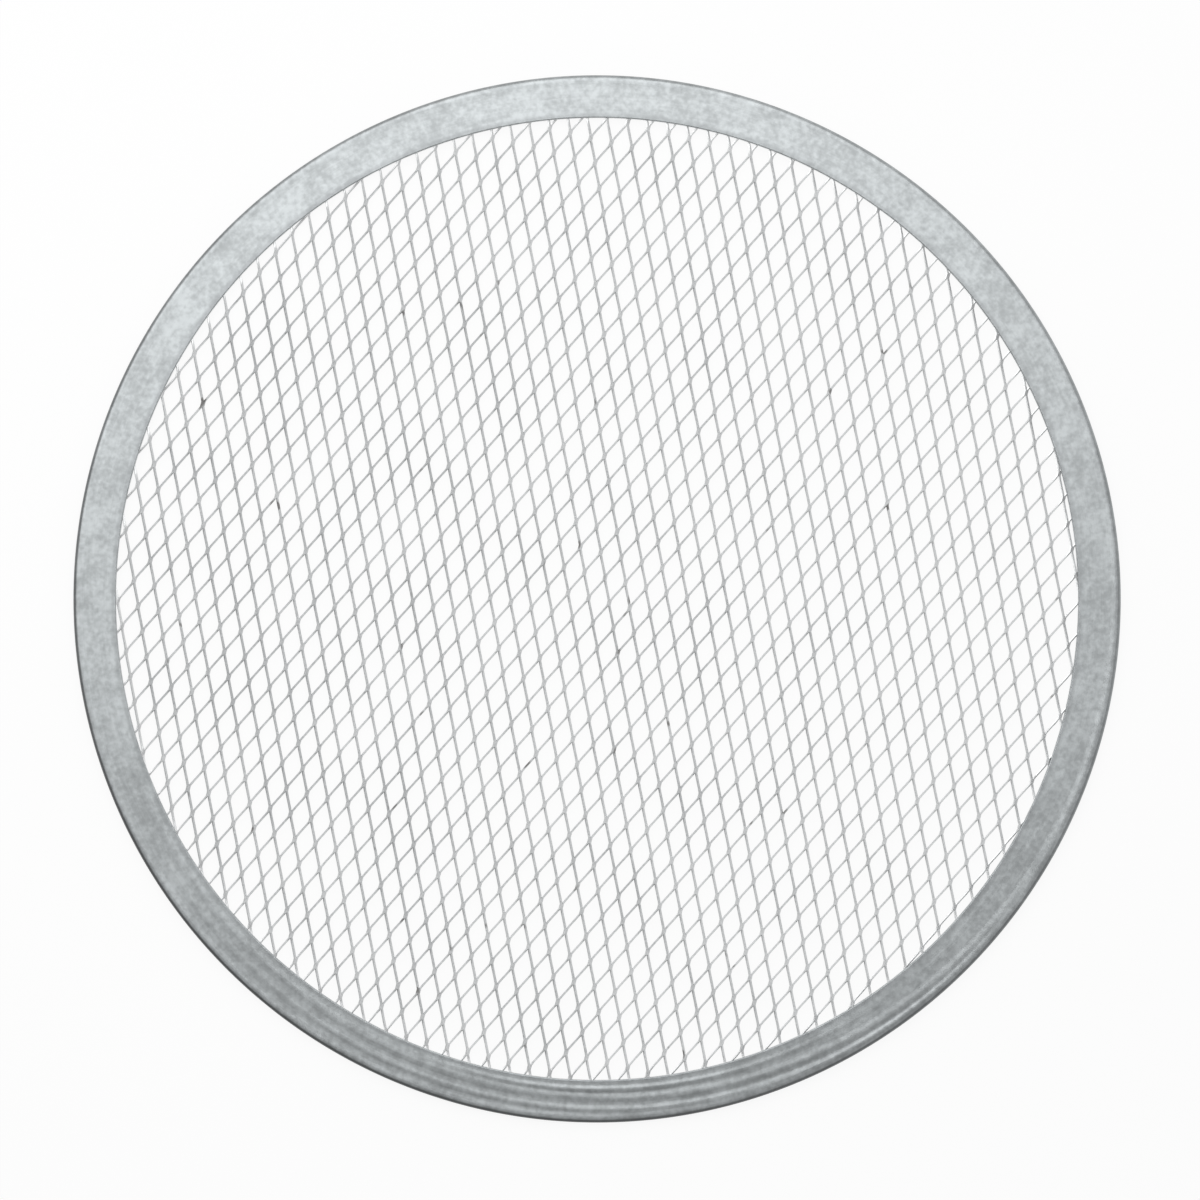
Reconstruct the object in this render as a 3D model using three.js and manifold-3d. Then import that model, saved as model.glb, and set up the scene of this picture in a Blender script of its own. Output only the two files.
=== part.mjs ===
// A pizza screen: a disc of raised expanded aluminium held in a rim folded from aluminium strip.
// Millimetres, +Z up, with the origin at the centre of the surface that the screen rests on.
import * as THREE from "three";
import { mergeVertices } from "three/addons/utils/BufferGeometryUtils.js";
import Module from "manifold-3d";

// The rim is one strip folded over the edge of the mesh: its section is a C that opens inwards.
const outerDiameter = 305;
const stripGauge = 0.8;
// From the inner edge outwards: a rolled lip, two pressed ridges, then the bead of the fold
const lipWidth = 3.8;
const lipRise = 0.1;
const ridgeWidth = 3.0;
const ridgeRise = 0.1;
// The bead is hollow, with a sloping flank, a narrow flat along each crest and a rounded nose
const beadRise = 0.14;
const beadFlankWidth = 0.7;
const crestLandWidth = 0.7;
const beadHollowReach = 0.4;

// The mesh is one sheet, slit and stretched: strands run between bonds that stand tilted.
// Its diamonds are drawn coarser than the real ones of 13.7 by 6.2 mm, with the same open share.
const diamondLongWay = 26;
const diamondShortWay = 11.7;
const bondLength = 3.0;
const bondWidth = 1.9;
const bondTiltDegrees = 30;
const sheetGauge = 0.45;
const longWayTurnDegrees = -14.6;

// Clearances of the mesh in the fold of the rim
const gripClearance = 0.05;
const meshEdgeClearance = 0.5;

// Dull rolled strip, and the slightly brighter cut strands
const rimFinish = { color: 0xb2b6b8, roughness: 0.42, metalness: 0.9 };
const meshFinish = { color: 0xc3c6c8, roughness: 0.38, metalness: 0.9 };

// Facets
const rimSegments = 64;
const trimSegments = 72;
const humpSteps = 3;
const noseSteps = 6;
const hollowSteps = 2;

// Sizes of the rim and the mesh that follow from those above
const outerRadius = outerDiameter / 2;
const beadNoseWidth = beadHollowReach + stripGauge;
const crestLandOuter = outerRadius - beadNoseWidth;
const crestLandInner = crestLandOuter - crestLandWidth;
const beadFootRadius = crestLandInner - beadFlankWidth;
const ridgeFootRadius = beadFootRadius - ridgeWidth;
const lipFootRadius = ridgeFootRadius - ridgeWidth;
const innerRadius = lipFootRadius - lipWidth;
const meshRadius = beadFootRadius - meshEdgeClearance;
const bondTilt = THREE.MathUtils.degToRad(bondTiltDegrees);
const meshHeight = bondWidth * Math.sin(bondTilt) + sheetGauge * Math.cos(bondTilt);
const slotHalfHeight = meshHeight / 2 + gripClearance;
const flangeHalfHeight = slotHalfHeight + stripGauge;
const hollowHalfHeight = slotHalfHeight + beadRise;
const halfHeight = hollowHalfHeight + stripGauge;

// A smooth hump between two radii that stands a rise above the flange, ends included
function hump(from, to, rise) {
  const points = [];
  for (let step = 0; step <= humpSteps; step += 1) {
    const share = step / humpSteps;
    const height = (rise * (1 - Math.cos(2 * Math.PI * share))) / 2;
    points.push(new THREE.Vector2(from + (to - from) * share, flangeHalfHeight + height));
  }
  return points;
}

// Points along half an ellipse that bulges outwards, from its upper end to its lower end
function nose(centreRadius, reach, halfTall, steps) {
  const top = Math.PI / 2;
  return new THREE.EllipseCurve(centreRadius, 0, reach, halfTall, top, -top, true).getPoints(steps);
}

function mirrored(points) {
  return points.map((point) => new THREE.Vector2(point.x, -point.y)).reverse();
}

// The closed C section of the rim about its mid plane: radius across, height up
function rimSection() {
  // The lip rounds over to half the gauge at the cut edge of the strip
  const cutEdge = new THREE.Vector2(innerRadius, slotHalfHeight + stripGauge / 2);
  const lip = hump(innerRadius, lipFootRadius, lipRise).slice(1);
  const innerRidge = hump(lipFootRadius, ridgeFootRadius, ridgeRise).slice(1);
  const outerRidge = hump(ridgeFootRadius, beadFootRadius, ridgeRise).slice(1);
  const crest = new THREE.Vector2(crestLandInner, halfHeight);
  const upperFace = [cutEdge, ...lip, ...innerRidge, ...outerRidge, crest];
  const outerNose = nose(crestLandOuter, beadNoseWidth, halfHeight, noseSteps);
  const upperSlot = [
    new THREE.Vector2(innerRadius, slotHalfHeight),
    new THREE.Vector2(beadFootRadius, slotHalfHeight),
    new THREE.Vector2(crestLandInner, hollowHalfHeight),
  ];
  const hollowNose = nose(crestLandOuter, beadHollowReach, hollowHalfHeight, hollowSteps);
  const outside = [...upperFace, ...outerNose, ...mirrored(upperFace)];
  const inside = [...upperSlot, ...hollowNose, ...mirrored(upperSlot)];
  return [...outside, ...inside.reverse(), cutEdge];
}

function rim() {
  // The section runs so that the faces of the revolved strip point outwards
  const geometry = new THREE.LatheGeometry(rimSection().reverse(), rimSegments);
  geometry.rotateX(Math.PI / 2);
  const mesh = new THREE.Mesh(geometry, new THREE.MeshStandardMaterial(rimFinish));
  mesh.name = "rim";
  return mesh;
}

// Corners of a bond, counter-clockwise from above
const RIGHT = 0;
const FAR = 1;
const LEFT = 2;
const NEAR = 3;
const CORNERS = 4;

// Bonds lie on a diamond lattice, alternate rows half a diamond across, to one diamond past the disc
function latticeBonds() {
  const reach = meshRadius + diamondLongWay;
  const columns = Math.ceil((2 * reach) / diamondShortWay);
  const rows = Math.ceil((2 * reach) / diamondLongWay);
  const bonds = new Map();
  for (let row = -rows; row <= rows; row += 1) {
    for (let column = -columns; column <= columns; column += 1) {
      const x = (column * diamondShortWay) / 2;
      const y = (row * diamondLongWay) / 2;
      const onLattice = (column + row) % 2 === 0;
      if (onLattice && Math.hypot(x, y) < reach) {
        bonds.set(`${column},${row}`, { column, row, x, y, first: bonds.size * CORNERS });
      }
    }
  }
  return bonds;
}

// The corners of one bond on the middle of the sheet: the left one stands up and the right one down
function bondCorners({ x, y }) {
  const centre = new THREE.Vector3(x, y, 0);
  const across = new THREE.Vector3(Math.cos(bondTilt), 0, -Math.sin(bondTilt)).multiplyScalar(bondWidth / 2);
  const along = new THREE.Vector3(0, bondLength / 2, 0);
  const right = centre.clone().add(across);
  const far = centre.clone().add(along);
  const left = centre.clone().sub(across);
  const near = centre.clone().sub(along);
  return [right, far, left, near];
}

// Triangles of the sheet's middle surface: each bond, and its strands to the two bonds beyond it
function sheetTriangles(bonds) {
  const triangles = [];
  const quad = (a, b, c, d) => triangles.push([a, b, c], [a, c, d]);
  for (const { column, row, first } of bonds.values()) {
    quad(first + RIGHT, first + FAR, first + LEFT, first + NEAR);
    const right = bonds.get(`${column + 1},${row + 1}`);
    if (right) {
      quad(first + RIGHT, right.first + NEAR, right.first + LEFT, first + FAR);
    }
    const left = bonds.get(`${column - 1},${row + 1}`);
    if (left) {
      quad(first + FAR, left.first + RIGHT, left.first + NEAR, first + LEFT);
    }
  }
  return triangles;
}

// Gives the middle surface its gauge: an upper and a lower skin, and a wall along every free edge
function thickened(middle, triangles) {
  const half = new THREE.Vector3(Math.sin(bondTilt), 0, Math.cos(bondTilt)).multiplyScalar(sheetGauge / 2);
  const upper = middle.map((point) => point.clone().add(half));
  const lower = middle.map((point) => point.clone().sub(half));
  const below = (corner) => corner + middle.length;
  const index = [];
  const edges = new Set();
  for (const [a, b, c] of triangles) {
    index.push(a, b, c, below(c), below(b), below(a));
    edges.add(`${a},${b}`).add(`${b},${c}`).add(`${c},${a}`);
  }
  for (const edge of edges) {
    const [from, to] = edge.split(",").map(Number);
    if (!edges.has(`${to},${from}`)) {
      index.push(below(from), below(to), to, below(from), to, from);
    }
  }
  return new THREE.BufferGeometry().setFromPoints([...upper, ...lower]).setIndex(index);
}

const wasm = await Module();
wasm.setup();

function toSolid(geometry) {
  const bare = geometry.clone();
  bare.deleteAttribute("normal");
  bare.deleteAttribute("uv");
  const merged = mergeVertices(bare);
  const vertProperties = new Float32Array(merged.attributes.position.array);
  const triVerts = new Uint32Array(merged.index.array);
  return new wasm.Manifold(new wasm.Mesh({ numProp: 3, vertProperties, triVerts }));
}

function toGeometry(solid) {
  const { vertProperties, triVerts } = solid.getMesh();
  const geometry = new THREE.BufferGeometry();
  geometry.setAttribute("position", new THREE.BufferAttribute(vertProperties, 3));
  geometry.setIndex(new THREE.BufferAttribute(triVerts, 1));
  geometry.computeVertexNormals();
  return geometry;
}

function expandedMesh() {
  const bonds = latticeBonds();
  const middle = [...bonds.values()].flatMap(bondCorners);
  const sheet = thickened(middle, sheetTriangles(bonds));
  // A round blank, taller than the sheet, cuts the disc out of it
  const blank = new THREE.CylinderGeometry(meshRadius, meshRadius, 2 * meshHeight, trimSegments);
  blank.rotateX(Math.PI / 2);
  const cut = toSolid(sheet).intersect(toSolid(blank));
  // Offcuts that the round cut frees from the sheet fall away
  const disc = cut.decompose().reduce((kept, body) => (body.volume() > kept.volume() ? body : kept));
  const mesh = new THREE.Mesh(toGeometry(disc), new THREE.MeshStandardMaterial(meshFinish));
  mesh.name = "expanded_mesh";
  mesh.rotation.z = THREE.MathUtils.degToRad(longWayTurnDegrees);
  return mesh;
}

const pizzaScreen = new THREE.Group();
const aboutMidPlane = new THREE.Group();
aboutMidPlane.add(rim(), expandedMesh());
aboutMidPlane.position.z = halfHeight;
pizzaScreen.add(aboutMidPlane);

export default pizzaScreen;
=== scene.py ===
# %% [markdown]
# # A pizza screen, one piece at a time
# This lesson dresses a pizza screen for its picture. The real one is a disc of expanded aluminium
# with a rim of aluminium strip folded around its edge. The solids of both pieces come first, as a
# frame that is never moved, and every finer piece is made in the same place and in metres.

# %% Load the solids
import math

import bmesh
import bpy
from mathutils import Matrix, Vector


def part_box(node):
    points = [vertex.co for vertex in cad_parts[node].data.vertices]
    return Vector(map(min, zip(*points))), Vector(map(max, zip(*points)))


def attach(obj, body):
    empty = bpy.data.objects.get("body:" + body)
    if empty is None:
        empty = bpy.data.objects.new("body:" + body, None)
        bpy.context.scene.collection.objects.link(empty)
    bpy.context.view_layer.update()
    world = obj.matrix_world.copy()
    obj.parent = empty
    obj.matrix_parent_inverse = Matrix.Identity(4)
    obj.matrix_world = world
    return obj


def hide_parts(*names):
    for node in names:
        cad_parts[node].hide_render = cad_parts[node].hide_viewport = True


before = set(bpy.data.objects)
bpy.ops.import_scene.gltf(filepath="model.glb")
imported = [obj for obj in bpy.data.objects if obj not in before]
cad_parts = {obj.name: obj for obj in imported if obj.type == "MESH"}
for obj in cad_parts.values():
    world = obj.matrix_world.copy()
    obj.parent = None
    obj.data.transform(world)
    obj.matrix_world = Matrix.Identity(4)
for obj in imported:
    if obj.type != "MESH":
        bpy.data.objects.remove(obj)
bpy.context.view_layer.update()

MM = 0.001
RIM_LOW, RIM_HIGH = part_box("rim")
MID_HEIGHT = (RIM_LOW.z + RIM_HIGH.z) / 2
print("screen", round((RIM_HIGH.x - RIM_LOW.x) / MM, 1), "mm across,",
      round((RIM_HIGH.z - RIM_LOW.z) / MM, 2), "mm tall")

# %% [markdown]
# ## The camera
# The screen is seen straight from above, with hardly any perspective. A near camera with a wide
# lens would show the walls of the rim, so this one stands far away with a long lens. The lens
# follows from the distance and from the width of the square frame, a little wider than the screen.

# %% Set up the camera
FRAME_WIDTH = 349.46 * MM
FRAME_CENTRE = Vector((0.848, -0.317)) * MM
CAMERA_DISTANCE = 2.5
SENSOR_WIDTH = 36
camera_data = bpy.data.cameras.new("overhead_camera")
camera_data.sensor_width = SENSOR_WIDTH
camera_data.lens = SENSOR_WIDTH * CAMERA_DISTANCE / FRAME_WIDTH
camera = bpy.data.objects.new("overhead_camera", camera_data)
camera.location = (*FRAME_CENTRE, MID_HEIGHT + CAMERA_DISTANCE)
bpy.context.scene.collection.objects.link(camera)
bpy.context.scene.camera = camera
bpy.context.scene.view_settings.view_transform = "Standard"
print("lens", round(camera_data.lens, 1), "mm")

# %% [markdown]
# ## The section of the rim
# The rim is one strip of aluminium, folded over the edge of the mesh. Cut across, it is a C that
# opens inwards: a flat band whose edge is turned under to pinch the mesh, and a low hollow bead
# along the outer fold. Every point of the bends could be worked out by hand, but a few corners are
# easier to read, and a vertex bevel rounds them as the bending does. Only the upper half is drawn,
# since the fold is the same above and below. The band is divided for the ridges that come later.

# %% Draw the upper half of the section
SECTION = {
    # corner: radius and height above the middle, then the reach of its bend to both sides, in mm
    "nose_middle": (152.5, 0.0, 0.0),
    "nose_side": (152.5, 0.7, 0.6),
    "nose_top": (151.95, 1.385, 0.4),
    "crest": (151.1, 1.575, 0.42),
    "bead_foot": (149.6, 1.465, 0.5),
    "cut_edge_top": (140.1, 1.395, 0.14),
    "cut_edge_bottom": (140.1, 0.22, 0.1),
    "hem_end": (141.6, 0.22, 0.1),
    "slot_start": (142.3, 0.72, 0.1),
    "slot_end": (149.9, 0.72, 0.25),
    "hollow_inside": (150.6, 0.86, 0.2),
    "hollow_outside": (151.35, 0.86, 0.3),
    "hollow_middle": (151.7, 0.0, 0.0),
}
rim_mesh = bmesh.new()
corner = {}
for name, (radius, height, _) in SECTION.items():
    corner[name] = rim_mesh.verts.new((radius * MM, 0, height * MM))
names = list(SECTION)
for name, following in zip(names, names[1:]):
    rim_mesh.edges.new((corner[name], corner[following]))
print("section of", len(rim_mesh.verts), "corners")

# %% Round the corners, then divide the band
BEND_STEP = 0.16
ABOVE_SLOT = 1.0 * MM
BAND_CUTS = 36
for name, (_, _, bend) in SECTION.items():
    if bend:
        bmesh.ops.bevel(
            rim_mesh, geom=[corner[name]], offset=bend * MM, offset_type="OFFSET",
            affect="VERTICES", segments=max(1, round(bend / BEND_STEP)), profile=0.5, material=-1,
        )
outer_edges = [edge for edge in rim_mesh.edges if edge.verts[0].co.z > ABOVE_SLOT]
band = max(outer_edges, key=lambda edge: edge.calc_length())
bmesh.ops.subdivide_edges(rim_mesh, edges=[band], cuts=BAND_CUTS)
print("rounded and divided to", len(rim_mesh.verts), "points")

# %% [markdown]
# ## The fold
# A mirror about the middle closes the C, and turning it about the axis of the screen makes the
# ring. One spin could make the whole round, but a spin grows slow with its steps, so it makes one
# sixteenth, and copies of that double four times. The normals are worked out again once the
# doubled points are merged.

# %% Mirror, spin and double the section
SECTOR_STEPS = 40
DOUBLINGS = 4
SECTOR_ANGLE = 2 * math.pi / 2**DOUBLINGS
SAME_POINT = 0.005 * MM
half = rim_mesh.verts[:] + rim_mesh.edges[:]
bmesh.ops.mirror(rim_mesh, geom=half, matrix=Matrix(), merge_dist=SAME_POINT, axis="Z")
bmesh.ops.remove_doubles(rim_mesh, verts=rim_mesh.verts[:], dist=SAME_POINT)
whole = rim_mesh.verts[:] + rim_mesh.edges[:]
bmesh.ops.spin(
    rim_mesh, geom=whole, cent=(0, 0, 0), axis=(0, 0, 1), angle=SECTOR_ANGLE, steps=SECTOR_STEPS
)


def copy_of(shape):
    everything = shape.verts[:] + shape.edges[:] + shape.faces[:]
    copied = bmesh.ops.duplicate(shape, geom=everything)["geom"]
    return [part for part in copied if isinstance(part, bmesh.types.BMVert)]


for doubling in range(DOUBLINGS):
    turn = Matrix.Rotation(SECTOR_ANGLE * 2**doubling, 3, "Z")
    bmesh.ops.rotate(rim_mesh, verts=copy_of(rim_mesh), cent=(0, 0, 0), matrix=turn)
bmesh.ops.remove_doubles(rim_mesh, verts=rim_mesh.verts[:], dist=SAME_POINT)
bmesh.ops.recalc_face_normals(rim_mesh, faces=rim_mesh.faces[:])
open_edges = sum(not edge.is_manifold for edge in rim_mesh.edges)
print("ring of", len(rim_mesh.faces), "faces with", open_edges, "open edges,",
      "volume", round(rim_mesh.calc_volume(signed=True) / MM**3), "cubic mm")

# %% [markdown]
# ## The mesh pattern
# Expanded metal is one sheet, slit in staggered rows and pulled open. Where no slit cuts it a bond
# stays, and two strands leave each end of a bond for the next ones. The pattern could be kept as
# rows and columns, but two steps from bond to bond already give all of it. The long way of the
# diamonds leans a little to the right.

# %% Measure the pattern
STEP_RIGHT = Vector((4.746, 5.868, 0)) * MM
STEP_LEFT = Vector((-1.224, 7.365, 0)) * MM
BOND_PLACE = Vector((-2.457, 0.326, 0)) * MM
LONG_WAY = STEP_RIGHT + STEP_LEFT
SHORT_WAY = STEP_RIGHT - STEP_LEFT
print("diamonds", round(LONG_WAY.length / MM, 2), "by", round(SHORT_WAY.length / MM, 2), "mm")

# %% [markdown]
# ## Ridges and marks in the rim
# The tool that closed the fold pressed a low lip and two ridges into the band, and a third ridge
# along the bead. They are not quite concentric with the rim, and each is highest on the side where
# the tool bore hardest. The strip also took a faint print of the mesh beneath it. A bump in the
# finish could only shade such marks, so the points of the outer skin are lifted instead, by about
# a tenth of a millimetre.

# %% Measure the ridges
RIDGES = {
    # ridge: radius of its crest, its centre to the right and away, half its width, and its rise,
    # in mm; then where it was pressed hardest, in degrees to the right of the near side, and how
    # fast it fades away from there
    "lip": (143.72, 0.9, 1.0, 1.3, 0.155, 3, 30),
    "inner_ridge": (147.8, 3.7, 2.6, 1.75, 0.115, 20, 1.5),
    "outer_ridge": (150.1, 2.8, 1.5, 1.4, 0.12, 20, 3.5),
    "bead_ridge": (150.5, 0.0, 0.0, 1.0, 0.045, 40, 12),
}


def rounded(share):
    return (1 + math.cos(math.pi * min(1, abs(share)))) / 2


def ridge_rise(radius, outwards):
    rise = 0
    for crest, right, away, half_width, full_rise, side, fading in RIDGES.values():
        here = (crest + outwards.dot((right, away, 0))) * MM
        hardest = Vector((math.sin(math.radians(side)), -math.cos(math.radians(side)), 0))
        pressure = max(0, 1 + outwards.dot(hardest)) / 2
        rise += full_rise * MM * rounded((radius - here) / (half_width * MM)) * pressure**fading
    return rise


print("ridges:", ", ".join(RIDGES))

# %% Measure the print of the mesh
PRINT_RISE = 0.03 * MM
PRINT_HALF_WIDTH = 1.3 * MM


def print_rise(place):
    # Steps from a bond to this place along both strands, then the distance to the nearest strand
    area = STEP_RIGHT.x * STEP_LEFT.y - STEP_RIGHT.y * STEP_LEFT.x
    away = place - BOND_PLACE
    rights = (away.x * STEP_LEFT.y - away.y * STEP_LEFT.x) / area
    lefts = (STEP_RIGHT.x * away.y - STEP_RIGHT.y * away.x) / area
    to_left_strand = abs(rights - round(rights)) * abs(area) / STEP_LEFT.length
    to_right_strand = abs(lefts - round(lefts)) * abs(area) / STEP_RIGHT.length
    return PRINT_RISE * rounded(min(to_left_strand, to_right_strand) / PRINT_HALF_WIDTH)


print("print up to", PRINT_RISE / MM, "mm high")

# %% Press the band
EDGE_BEND, BAND_FLAT = 140.4 * MM, 141.6 * MM
PRINT_FADES, PRINT_ENDS = 146.0 * MM, 148.5 * MM
BEAD_RISES, BEAD_CREST = 150.2 * MM, 151.2 * MM
OUTER_SKIN = 1.2 * MM


def step_up(value, low, high):
    share = min(1, max(0, (value - low) / (high - low)))
    return share * share * (3 - 2 * share)


pressed = 0
for vertex in rim_mesh.verts:
    radius = vertex.co.xy.length
    if not EDGE_BEND < radius < BEAD_CREST or abs(vertex.co.z) < OUTER_SKIN:
        continue
    outwards = Vector((vertex.co.x, vertex.co.y, 0)) / radius
    rise = ridge_rise(radius, outwards) * (1 - step_up(radius, BEAD_RISES, BEAD_CREST))
    rise += print_rise(vertex.co) * (1 - step_up(radius, PRINT_FADES, PRINT_ENDS))
    rise *= step_up(radius, EDGE_BEND, BAND_FLAT)
    vertex.co.z += math.copysign(rise, vertex.co.z)
    pressed += 1
print("pressed", pressed, "points of the band")

# %% [markdown]
# ## A piece from a mesh
# Every finished piece becomes an object at the origin, with its place in its mesh. It rides on the
# only body of the screen and stands for one solid.
# A modifier could split the shading at edges, but marking those that turn sharply keeps the piece
# a plain mesh: they stay crisp, and the rest is shaded smooth.

# %% Make the rim a piece
def finished_piece(name, shape, node, sharp_degrees):
    bmesh.ops.translate(shape, verts=shape.verts[:], vec=(0, 0, MID_HEIGHT))
    data = bpy.data.meshes.new(name)
    shape.to_mesh(data)
    shape.free()
    data.shade_smooth()
    data.set_sharp_from_angle(angle=math.radians(sharp_degrees))
    piece = bpy.data.objects.new(name, data)
    bpy.context.scene.collection.objects.link(piece)
    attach(piece, "root")
    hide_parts(node)
    triangles = sum(len(face.vertices) - 2 for face in data.polygons)
    print(name, "has", len(data.vertices), "points and", triangles, "triangles")
    return piece


rim = finished_piece("folded_rim", rim_mesh, "rim", sharp_degrees=50)

# %% [markdown]
# ## One bond and its strands
# The bond is two strands wide and stands tilted, with its left edge up, which is what makes this
# mesh raised. It is also a little askew to the rows. Crossed bars would be quicker, but they would
# not be one sheet. So a grid gives the bond, the right half of its far edge is drawn out, step by
# step, to the next bond on the right, and the left half to the next bond on the left.

# %% Shape one bond
STRAND_WIDTH = 0.73 * MM
BOND_LENGTH = 1.45 * MM
BOND_TILT = math.radians(-50)
BOND_SKEW = math.radians(18)
level = Matrix.Rotation(BOND_SKEW, 3, "Z") @ SHORT_WAY.normalized()
across = level * math.cos(BOND_TILT) + Vector((0, 0, math.sin(BOND_TILT)))
along = LONG_WAY.normalized()
facing = across.cross(along).normalized()
bond_sides = (across * STRAND_WIDTH, along * BOND_LENGTH / 2, facing)
bond_frame = Matrix(bond_sides).transposed().to_4x4()
sheet = bmesh.new()
bmesh.ops.create_grid(sheet, x_segments=2, y_segments=1, size=1, matrix=bond_frame)
print("bond", round(2 * STRAND_WIDTH / MM, 2), "by", round(BOND_LENGTH / MM, 2), "mm of",
      len(sheet.faces), "faces")

# %% Draw out its two strands
STRAND_STEPS = 4
STRAND_EASE = 0.08


def far_side(side):
    # The half of the bond's far edge that lies to one side of its middle
    wanted = (along * BOND_LENGTH + across * STRAND_WIDTH * side) / 2

    def distance(edge):
        return ((edge.verts[0].co + edge.verts[1].co) / 2 - wanted).length

    return min(sheet.edges, key=distance)


def draw_strand(edge, step):
    # A strand joins the near edge of the next bond, one strand width over from where it left
    sideways = SHORT_WAY * SHORT_WAY.dot(step) / SHORT_WAY.length_squared
    over = across * STRAND_WIDTH * math.copysign(1, SHORT_WAY.dot(step))
    start = [vertex.co.copy() for vertex in edge.verts]
    travel = step - along * BOND_LENGTH - over
    for count in range(1, STRAND_STEPS + 1):
        share = count / STRAND_STEPS
        eased = step_up(share, 0, 1) - share
        made = bmesh.ops.extrude_edge_only(sheet, edges=[edge])["geom"]
        edge = next(part for part in made if isinstance(part, bmesh.types.BMEdge))
        for vertex, origin in zip(edge.verts, start):
            vertex.co = origin + travel * share + sideways * eased * STRAND_EASE


right_edge, left_edge = far_side(1), far_side(-1)
draw_strand(right_edge, STEP_RIGHT)
draw_strand(left_edge, STEP_LEFT)
print("one bond with its strands has", len(sheet.faces), "faces")

# %% [markdown]
# ## The whole sheet
# Thousands of bonds could be placed one by one, but doubling covers the disc in a dozen moves: a
# copy of everything so far is set one step away, then two, then four.

# %% Repeat the bond
ROW_DOUBLINGS = 6
COLUMN_DOUBLINGS = 5
steps = [STEP_RIGHT]
steps += [SHORT_WAY * 2**doubling for doubling in range(ROW_DOUBLINGS)]
steps += [LONG_WAY * 2**doubling for doubling in range(COLUMN_DOUBLINGS)]
for step in steps:
    bmesh.ops.translate(sheet, verts=copy_of(sheet), vec=step)
to_middle = SHORT_WAY * 2 ** (ROW_DOUBLINGS - 1) + LONG_WAY * 2 ** (COLUMN_DOUBLINGS - 1)
bmesh.ops.translate(sheet, verts=sheet.verts[:], vec=BOND_PLACE - to_middle)
print("sheet of", len(sheet.faces), "faces")

# %% [markdown]
# ## Cut and thickness
# The disc is cut out of the sheet where its edge is hidden in the fold, so whole faces can go and
# no clean cut is needed. Merging the doubled points joins each strand to its next bond. Where two
# scraps then touch only at a corner, they go too, and so do offcuts that hang on nothing. Last,
# the skin gets the gauge of the sheet, square to the bonds, and is pressed flatter near the rim.

# %% Cut the disc
DISC_RADIUS = 149.2 * MM


def reach(face):
    return max(vertex.co.xy.length for vertex in face.verts)


scraps = [face for face in sheet.faces if reach(face) > DISC_RADIUS]
while scraps:
    bmesh.ops.delete(sheet, geom=scraps, context="FACES")
    bmesh.ops.remove_doubles(sheet, verts=sheet.verts[:], dist=SAME_POINT)
    scraps = [face for face in sheet.faces if not all(vert.is_manifold for vert in face.verts)]
print("disc of", len(sheet.faces), "faces")

# %% Drop the offcuts
first = min(sheet.verts, key=lambda vertex: vertex.co.xy.length)
held = {first}
waiting = [first]
while waiting:
    for edge in waiting.pop().link_edges:
        for vertex in edge.verts:
            if vertex not in held:
                held.add(vertex)
                waiting.append(vertex)
loose = [vertex for vertex in sheet.verts if vertex not in held]
bmesh.ops.delete(sheet, geom=loose, context="VERTS")
print(len(loose), "loose points gone,", len(sheet.faces), "faces left")

# %% Give the sheet its gauge
SHEET_GAUGE = 0.42 * MM
FLATTENING = 0.7
FLAT_FROM, FLAT_FULL = 135.0 * MM, 140.3 * MM
bmesh.ops.translate(sheet, verts=sheet.verts[:], vec=-facing * SHEET_GAUGE / 2)
drawn = bmesh.ops.extrude_face_region(sheet, geom=sheet.faces[:])["geom"]
upper = [part for part in drawn if isinstance(part, bmesh.types.BMVert)]
bmesh.ops.translate(sheet, verts=upper, vec=facing * SHEET_GAUGE)
bmesh.ops.recalc_face_normals(sheet, faces=sheet.faces[:])
for vertex in sheet.verts:
    vertex.co.z *= 1 - FLATTENING * step_up(vertex.co.xy.length, FLAT_FROM, FLAT_FULL)
heights = [vertex.co.z for vertex in sheet.verts]
open_edges = sum(not edge.is_manifold for edge in sheet.edges)
print("sheet from", round(min(heights) / MM, 2), "to", round(max(heights) / MM, 2),
      "mm about the middle,", open_edges, "open edges,",
      "volume", round(sheet.calc_volume(signed=True) / MM**3), "cubic mm")
mesh_disc = finished_piece(
    "expanded_mesh_disc", sheet, "expanded_mesh", sharp_degrees=40
)

# %% [markdown]
# ## Finishes as sums
# A finish is a graph of shader nodes. Long chains of nodes are hard to read, so one small class
# wraps a socket: a sum or product of two such values adds its Math node, and `node` adds any
# other. Both pieces are metal, so both take the same last step.

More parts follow.
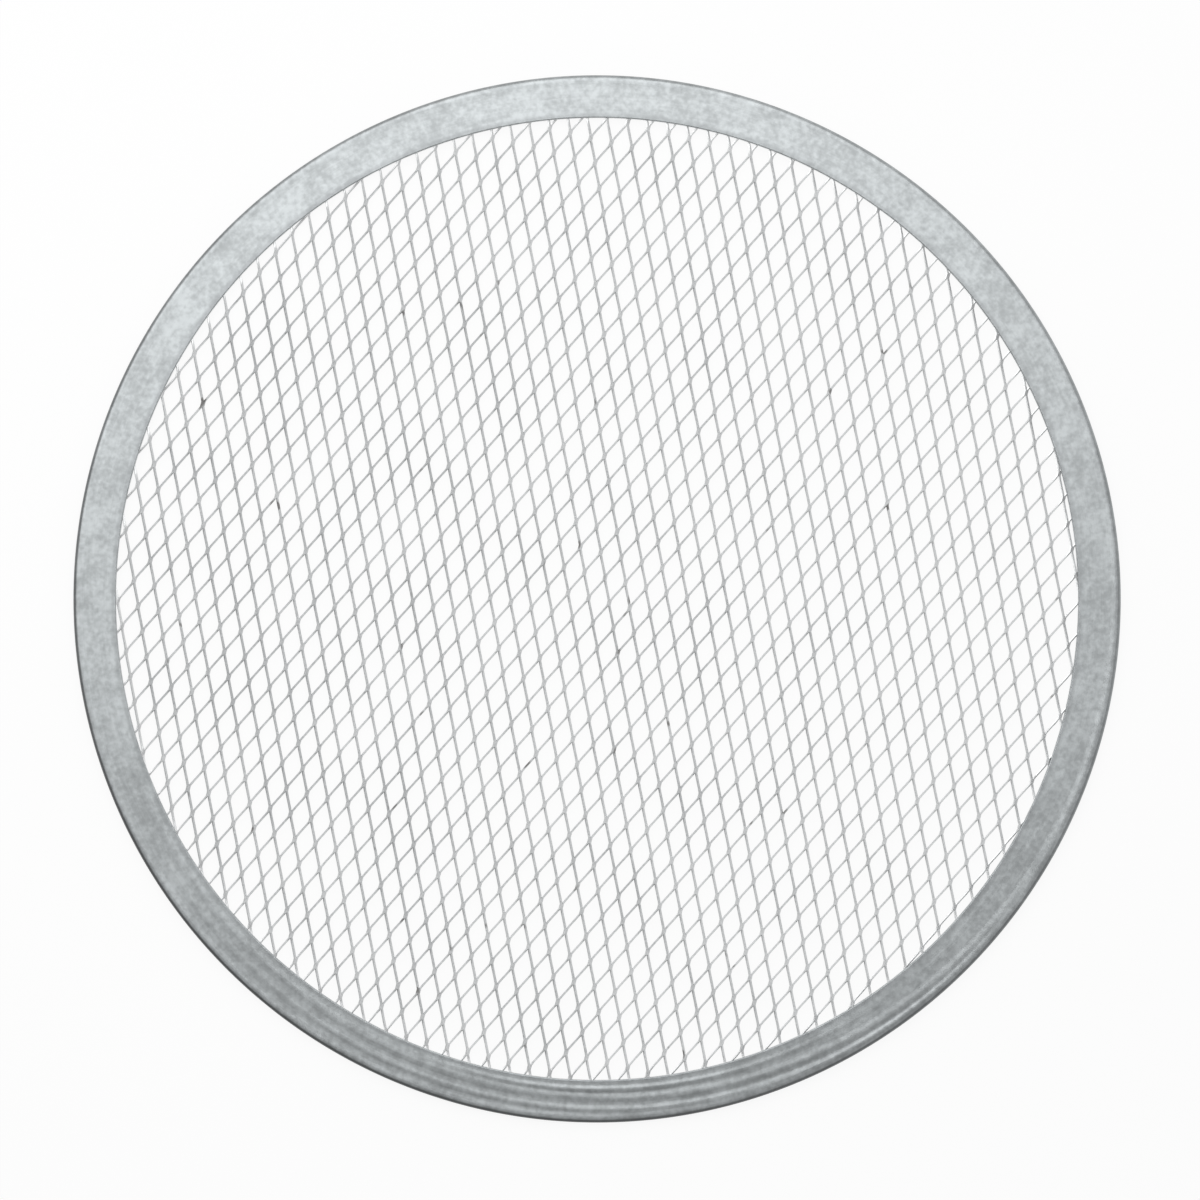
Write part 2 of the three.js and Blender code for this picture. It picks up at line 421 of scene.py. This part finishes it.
# %% A value in a shader
class Value:
    def __init__(self, tree, socket=None):
        self.tree = tree
        self.socket = socket

    def node(self, kind, settings=None, inputs=None, output=0):
        made = self.tree.nodes.new(kind)
        for name, setting in (settings or {}).items():
            setattr(made, name, setting)
        for name, given in (inputs or {}).items():
            if isinstance(given, Value):
                self.tree.links.new(given.socket, made.inputs[name])
            else:
                made.inputs[name].default_value = given
        return Value(self.tree, made.outputs[output] if made.outputs else None)

    def math(self, operation, *given):
        return self.node("ShaderNodeMath", {"operation": operation}, dict(enumerate(given)))

    def __add__(self, other):
        return self.math("ADD", self, other)

    def __radd__(self, other):
        return self.math("ADD", other, self)

    def __sub__(self, other):
        return self.math("SUBTRACT", self, other)

    def __rsub__(self, other):
        return self.math("SUBTRACT", other, self)

    def __mul__(self, other):
        return self.math("MULTIPLY", self, other)

    def __rmul__(self, other):
        return self.math("MULTIPLY", other, self)

    def __truediv__(self, other):
        return self.math("DIVIDE", self, other)

    def __rtruediv__(self, other):
        return self.math("DIVIDE", other, self)

    def __pow__(self, other):
        return self.math("POWER", self, other)

    def parts(self):
        split = self.node("ShaderNodeSeparateXYZ", inputs={"Vector": self}).socket.node
        return [Value(self.tree, socket) for socket in split.outputs]

    def between(self, low, high):
        settings = {"interpolation_type": "SMOOTHSTEP"}
        inputs = {"Value": self, "From Min": low, "From Max": high}
        return self.node("ShaderNodeMapRange", settings, inputs)

    def noise(self, scale, detail=2.0, roughness=0.5):
        inputs = {"Vector": self, "Scale": scale, "Detail": detail, "Roughness": roughness}
        return self.node("ShaderNodeTexNoise", inputs=inputs)

    def blend(self, first, second):
        # The colours of a Mix node are its inputs 6 and 7 and its output 2
        return self.node("ShaderNodeMix", {"data_type": "RGBA"}, {0: self, 6: first, 7: second}, 2)


print("shader values ready")

# %% Start a finish and put it on
METAL_SHARE = 0.95


def new_finish(name):
    material = bpy.data.materials.new(name)
    material.use_nodes = True
    material.node_tree.nodes.clear()
    return material, Value(material.node_tree)


def put_on(piece, material, colour, roughness, bump):
    inputs = {
        "Base Color": colour, "Roughness": roughness, "Metallic": METAL_SHARE, "Normal": bump,
    }
    metal = bump.node("ShaderNodeBsdfPrincipled", inputs=inputs)
    metal.node("ShaderNodeOutputMaterial", inputs={"Surface": metal})
    piece.data.materials.append(material)
    print(material.name, "of", len(material.node_tree.nodes), "nodes is on", piece.name)


print("metal share", METAL_SHARE)

# %% [markdown]
# ## The finish of the rim
# The strip is dull rolled aluminium. Drawing left fine lines that run with the rim, and baking
# left a soft cloudy oxide. Painted shade darkens the inner edge, and more strongly the nose, most
# of all on the near side and the left. A stretched noise would do for lines on a straight strip.
# Here the noise is read by radius and direction, so that the lines are long around the rim and
# fine across it.

# %% Shade the strip
LINES_PER_METRE = 1500
LINES_AROUND = 7
RIM_DARK, DARK_LEVEL = (0.34, 0.358, 0.364, 1), 1.55
RIM_PALE, PALE_LEVEL = (0.52, 0.548, 0.557, 1), 2.75
rim_finish, start = new_finish("dull_rolled_aluminium")
place = start.node("ShaderNodeTexCoord", output="Object")
x, y, z = place.parts()
radius = (x * x + y * y) ** 0.5
right, away = x / radius, y / radius
inputs = {0: radius * LINES_PER_METRE, 1: right * LINES_AROUND, 2: away * LINES_AROUND}
lines = start.node("ShaderNodeCombineXYZ", inputs=inputs).noise(1.0, detail=3.0, roughness=0.6)
clouds = place.noise(70.0, detail=4.0, roughness=0.6)
mottle = place.noise(260.0, detail=3.0)
specks = place.noise(700.0)
shade = lines * 0.6 + clouds * 1.3 + mottle * 1.1 + specks * 1.3
colour = shade.between(DARK_LEVEL, PALE_LEVEL).blend(RIM_DARK, RIM_PALE)
print("strip shaded by", len(rim_finish.node_tree.nodes), "nodes")

# %% Paint shade on the nose and the inner edge
NOSE_SHADE_COLOUR = (0.09, 0.094, 0.096, 1)
NOSE_FROM, NOSE_FULL = 151.35 * MM, 152.05 * MM
NOSE_SHADE_SHARE, SHADE_MORE_NEAR, SHADE_MORE_LEFT = 0.62, 0.38, 0.2
EDGE_SHADE_COLOUR = (0.27, 0.283, 0.29, 1)
EDGE_FROM, EDGE_FULL = 141.9 * MM, 140.8 * MM
EDGE_SHADE_SHARE = 0.4
CUT_COLOUR = (0.72, 0.73, 0.735, 1)
CUT_FROM, CUT_FULL = 140.3 * MM, 140.15 * MM
CUT_TOP, CUT_BELOW = 1.24 * MM, 1.04 * MM
# Painted shade on the nose, heaviest on the near side and the left, where the light falls least
nose_shade_share = NOSE_SHADE_SHARE - away * SHADE_MORE_NEAR - right * SHADE_MORE_LEFT
nose = radius.between(NOSE_FROM, NOSE_FULL) * nose_shade_share
colour = nose.blend(colour, NOSE_SHADE_COLOUR)
# Painted shade along the inner edge, dimming the bright sky mirrored in its bend
inner_edge_shade = radius.between(EDGE_FROM, EDGE_FULL) * EDGE_SHADE_SHARE
colour = inner_edge_shade.blend(colour, EDGE_SHADE_COLOUR)
height = z.math("ABSOLUTE", z - MID_HEIGHT)
# The cut wall is pale: partly the brightness of freshly sheared metal, partly painted light
# against the shade of the slot
cut_wall = radius.between(CUT_FROM, CUT_FULL) * height.between(CUT_TOP, CUT_BELOW)
colour = cut_wall.blend(colour, CUT_COLOUR)
print("nose dark from", round(NOSE_FROM / MM, 2), "mm outwards")

# %% Finish the rim
LINE_DEPTH = 0.04 * MM
inputs = {"Height": lines * 0.6 + specks * 0.4, "Strength": 0.6, "Distance": LINE_DEPTH}
bump = start.node("ShaderNodeBump", inputs=inputs)
roughness = 0.34 + clouds * 0.1 + lines * 0.08
put_on(rim, rim_finish, colour, roughness, bump)

# %% [markdown]
# ## The finish of the mesh
# The strands are the same metal, freshly sheared and a little brighter, with the soft grey of use
# on some and not on others, and a baked-on stain here and there. Close to the rim they are
# brightened with painted light, against the shade there and the dark rim wall they mirror. A
# colour for each strand would look painted, so large and small noise together decide where the
# wear lies.

# %% Colour the strands
MESH_COLOUR = (0.68, 0.69, 0.693, 1)
MESH_WORN = (0.53, 0.54, 0.545, 1)
WEAR_FROM, WEAR_FULL = 0.42, 0.68
GREYER_TO_LEFT = 0.6
PAINTED_LIGHT_COLOUR = (0.8, 0.808, 0.811, 1)
PAINTED_LIGHT_FROM, PAINTED_LIGHT_FULL = 131.0 * MM, 139.0 * MM
PAINTED_LIGHT_SHARE = 0.6
mesh_finish, start = new_finish("sheared_aluminium")
place = start.node("ShaderNodeTexCoord", output="Object")
x, y, _ = place.parts()
radius = (x * x + y * y) ** 0.5
clouds = place.noise(45.0, detail=3.0)
specks = place.noise(1300.0)
# Random wear from the noise, and a steady greying towards the left
wear_and_left_grey = clouds * 0.6 + specks * 0.4 - x * GREYER_TO_LEFT
colour = wear_and_left_grey.between(WEAR_FROM, WEAR_FULL).blend(MESH_COLOUR, MESH_WORN)
# Painted light: strands near the rim are brightened to offset the shade and the dark rim they
# mirror
painted_light_near_rim = radius.between(PAINTED_LIGHT_FROM, PAINTED_LIGHT_FULL) * PAINTED_LIGHT_SHARE
colour = painted_light_near_rim.blend(colour, PAINTED_LIGHT_COLOUR)
print("strands coloured by", len(mesh_finish.node_tree.nodes), "nodes")

# %% Finish the mesh
STAIN_COLOUR = (0.25, 0.245, 0.24, 1)
STAIN_FROM, STAIN_FULL = 0.72, 0.8
SPECK_DEPTH = 0.03 * MM
stain = place.noise(170.0, detail=1.0).between(STAIN_FROM, STAIN_FULL)
colour = stain.blend(colour, STAIN_COLOUR)
inputs = {"Height": specks, "Strength": 0.35, "Distance": SPECK_DEPTH}
bump = start.node("ShaderNodeBump", inputs=inputs)
roughness = 0.34 + specks * 0.16
put_on(mesh_disc, mesh_finish, colour, roughness, bump)

# %% [markdown]
# ## The floor
# The screen lies on a plain white floor. Lamps bright enough to make a matt floor white would
# bleach the metal, so the camera and the metal see it mostly as an even white, and a smaller share
# of it takes the light and the faint shadow of the screen.

# %% Colour the floor
WHITE = (1, 1, 1, 1)
FLOOR_COLOUR = (0.9, 0.9, 0.9, 1)
EVEN_SHARE = 0.9
floor_finish, start = new_finish("white_floor")
seen = start.node("ShaderNodeLightPath", output="Is Camera Ray")
for ray in ("Is Glossy Ray", "Is Transmission Ray"):
    seen = seen.math("MAXIMUM", seen, start.node("ShaderNodeLightPath", output=ray))
matt = start.node("ShaderNodeBsdfDiffuse", inputs={"Color": FLOOR_COLOUR})
even = start.node("ShaderNodeEmission", inputs={"Color": WHITE, "Strength": 1.0})
mixed = start.node("ShaderNodeMixShader", inputs={0: seen * EVEN_SHARE, 1: matt, 2: even})
start.node("ShaderNodeOutputMaterial", inputs={"Surface": mixed})
print("floor finish of", len(floor_finish.node_tree.nodes), "nodes")

# %% Lay the floor
FLOOR_WIDTH = 12.0
FLOOR_GAP = 0.05 * MM
plane = bmesh.new()
bmesh.ops.create_grid(plane, x_segments=1, y_segments=1, size=FLOOR_WIDTH / 2)
bmesh.ops.translate(plane, verts=plane.verts[:], vec=(0, 0, RIM_LOW.z - FLOOR_GAP))
floor_data = bpy.data.meshes.new("floor")
plane.to_mesh(floor_data)
plane.free()
floor = bpy.data.objects.new("floor", floor_data)
floor_data.materials.append(floor_finish)
bpy.context.scene.collection.objects.link(floor)
print("floor", FLOOR_WIDTH, "m wide")

# %% [markdown]
# ## The light
# A studio surrounds the screen: white walls low down, and a grey ceiling that is brighter towards
# the top of the picture, so that slopes of the metal that face that way are lighter and the others
# darker. Lamps alone would leave metal black where it mirrors none of them, so the world makes
# most of the light. One wide lamp hangs flat over the far side, for the soft fall of light across
# the screen.

# %% Light the studio
NEAR_SKY = (0.28, 0.28, 0.28, 1)
FAR_SKY = (0.66, 0.66, 0.66, 1)
SKY_LEAN = (0.6, 1.53, 0)
WALL_TOP, SKY_FROM = 0.15, 0.6
world = bpy.data.worlds.new("studio")
world.use_nodes = True
world.node_tree.nodes.clear()
bpy.context.scene.world = world
start = Value(world.node_tree)
direction = start.node("ShaderNodeTexCoord", output="Generated")
dot_product = {"operation": "DOT_PRODUCT"}
lean = start.node("ShaderNodeVectorMath", dot_product, {0: direction, 1: SKY_LEAN}, "Value")
_, _, rise = direction.parts()
sky = lean.between(-1, 1).blend(NEAR_SKY, FAR_SKY)
light = rise.between(WALL_TOP, SKY_FROM).blend(WHITE, sky)
background = start.node("ShaderNodeBackground", inputs={"Color": light, "Strength": 1.0})
start.node("ShaderNodeOutputWorld", inputs={"Surface": background})
print("studio of", len(world.node_tree.nodes), "nodes")

# %% Hang the lamp
LAMP_PLACE = (-0.22, 0.375, 0.6)
LAMP_SIZE = (1.0, 0.8)
LAMP_POWER = 3.6
lamp_data = bpy.data.lights.new("wide_lamp", "AREA")
lamp_data.shape = "RECTANGLE"
lamp_data.size, lamp_data.size_y = LAMP_SIZE
lamp_data.energy = LAMP_POWER
lamp = bpy.data.objects.new("wide_lamp", lamp_data)
lamp.location = LAMP_PLACE
lamp.visible_camera = False
bpy.context.scene.collection.objects.link(lamp)
print("lamp of", LAMP_POWER, "W")
